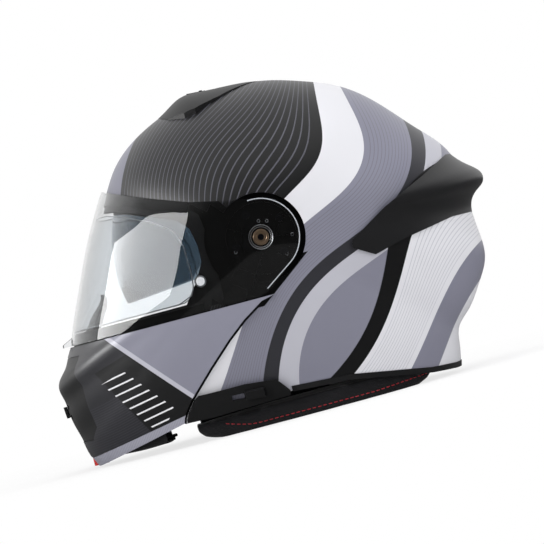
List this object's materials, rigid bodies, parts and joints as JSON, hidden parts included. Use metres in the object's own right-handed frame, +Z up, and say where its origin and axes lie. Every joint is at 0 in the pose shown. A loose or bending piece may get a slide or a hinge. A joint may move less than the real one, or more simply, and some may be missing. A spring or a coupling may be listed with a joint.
{
  "type": "modular motorcycle helmet",
  "caption": "Modular motorcycle helmet with a flip-up chin bar, clear visor, inner sun visor, sliding vents, foam liner, neck roll and ratchet chin strap.",
  "frame": {"origin": "middle of the bounding box's bottom, under the helmet on its middle plane", "axes": "-X forward, out of the wearer's face; +Z up; the wearer's left at -Y"},
  "size_m": [0.3671, 0.25, 0.2668],
  "materials": {
    "painted_shell": "gloss lacquer over a printed graphic",
    "black_trim": "fine grained",
    "black_gloss": "gloss",
    "clear_polycarbonate": "polished clear",
    "smoked_polycarbonate": "polished smoke",
    "seal_rubber": "matte",
    "liner_foam": "moulded foam beads",
    "liner_cloth": "brushed knit over foam",
    "webbing": "woven",
    "bushing_brass": "turned",
    "steel": "satin",
    "release_red": "satin"
  },
  "bodies": {
    "helmet": {"shell": "painted_shell", "impact_liner": "liner_foam", "crown_pad": "liner_cloth", "cheek_pad_left": "liner_cloth", "cheek_pad_right": "liner_cloth", "neck_roll": "liner_cloth", "shell_edge_trim": "seal_rubber", "brow_gasket": "seal_rubber", "crown_vent_base": "black_gloss", "rear_spoiler": "black_gloss", "control_housing_left": "black_trim", "side_trim_right": "black_trim", "pivot_bushing_left": "bushing_brass", "pivot_bushing_right": "bushing_brass", "pivot_washer_left": "steel", "pivot_washer_right": "steel", "striker_left": "steel", "striker_right": "steel", "strap_left": "webbing", "strap_right": "webbing", "strap_rivets": "steel", "buckle_body": "steel", "strap_tongue": "black_trim"},
    "chin_assembly": {"chin_bar": "painted_shell", "chin_lining": "liner_cloth", "breath_deflector": "black_trim", "chin_curtain": "liner_cloth", "chin_gasket": "seal_rubber", "chin_vent_cover": "black_trim", "mechanism_plate_left": "black_gloss", "mechanism_plate_right": "black_gloss", "plate_screws_left": "steel", "plate_screws_right": "steel"},
    "visor_assembly": {"visor": "clear_polycarbonate", "anti_fog_insert": "clear_polycarbonate", "insert_pins": "clear_polycarbonate"},
    "visor_release_left": {"visor_release_left": "black_gloss"},
    "visor_release_right": {"visor_release_right": "black_gloss"},
    "chin_vent_shutter": {"chin_vent_shutter": "black_trim"},
    "release_button": {"release_button": "release_red"},
    "latch_hook_left": {"latch_hook_left": "black_trim"},
    "latch_hook_right": {"latch_hook_right": "black_trim"},
    "sun_visor": {"sun_visor": "smoked_polycarbonate"},
    "sun_visor_lever": {"sun_visor_lever": "black_trim"},
    "crown_vent_slider": {"crown_vent_slider": "black_gloss"},
    "buckle_lever": {"buckle_lever": "black_trim"}
  },
  "joints": [
    {"name": "chin_bar_lift", "type": "hinge", "parent": "helmet", "child": "chin_assembly", "pos_m": [0.00184, 0, 0.14177], "axis": [0, 1, 0], "range_deg": [0, 80]},
    {"name": "visor_lift", "type": "hinge", "parent": "chin_assembly", "child": "visor_assembly", "pos_m": [0.00184, 0, 0.14177], "axis": [0, -1, 0], "range_deg": [-45, 0]},
    {"name": "sun_visor_drop", "type": "hinge", "parent": "helmet", "child": "sun_visor", "pos_m": [0.00184, 0, 0.14177], "axis": [0, -1, 0], "range_deg": [-46, 0]},
    {"name": "sun_lever_slide", "type": "slide", "parent": "helmet", "child": "sun_visor_lever", "axis": [0.9905, -0.1323, -0.0367], "range_m": [-0.014, 0]},
    {"name": "crown_vent_slide", "type": "slide", "parent": "helmet", "child": "crown_vent_slider", "axis": [0.9965, 0, -0.0836], "range_m": [0, 0.009]},
    {"name": "chin_vent_slide", "type": "slide", "parent": "chin_assembly", "child": "chin_vent_shutter", "axis": [-0.13, 0, 0.9915], "range_m": [0, 0.006]},
    {"name": "release_press", "type": "slide", "parent": "chin_assembly", "child": "release_button", "axis": [1, 0, 0], "range_m": [0, 0.003], "stiffness_N_per_m": 600, "springref_m": -0.001},
    {"name": "latch_left", "type": "hinge", "parent": "chin_assembly", "child": "latch_hook_left", "pos_m": [-0.1079, -0.091, 0.0461], "axis": [0, -1, 0], "range_deg": [0, 12]},
    {"name": "latch_right", "type": "hinge", "parent": "chin_assembly", "child": "latch_hook_right", "pos_m": [-0.1079, 0.091, 0.0461], "axis": [0, -1, 0], "range_deg": [0, 12]},
    {"name": "visor_release_slide_left", "type": "slide", "parent": "chin_assembly", "child": "visor_release_left", "axis": [0.6157, 0, 0.788], "range_m": [0, 0.0025], "stiffness_N_per_m": 400, "springref_m": -0.001},
    {"name": "visor_release_slide_right", "type": "slide", "parent": "chin_assembly", "child": "visor_release_right", "axis": [0.6157, 0, 0.788], "range_m": [0, 0.0025], "stiffness_N_per_m": 400, "springref_m": -0.001},
    {"name": "buckle_lever_lift", "type": "hinge", "parent": "helmet", "child": "buckle_lever", "pos_m": [0.03485, -0.0102, 0.01154], "axis": [1, 0, 0], "range_deg": [0, 40], "stiffness_Nm_per_rad": 0.05, "springref_deg": -11.46}
  ],
  "couplings": [
    {"joint": "sun_lever_slide", "follows": "sun_visor_drop", "m_per_rad": 0.01743},
    {"joint": "latch_left", "follows": "release_press", "rad_per_m": 69.8},
    {"joint": "latch_right", "follows": "release_press", "rad_per_m": 69.8}
  ]
}
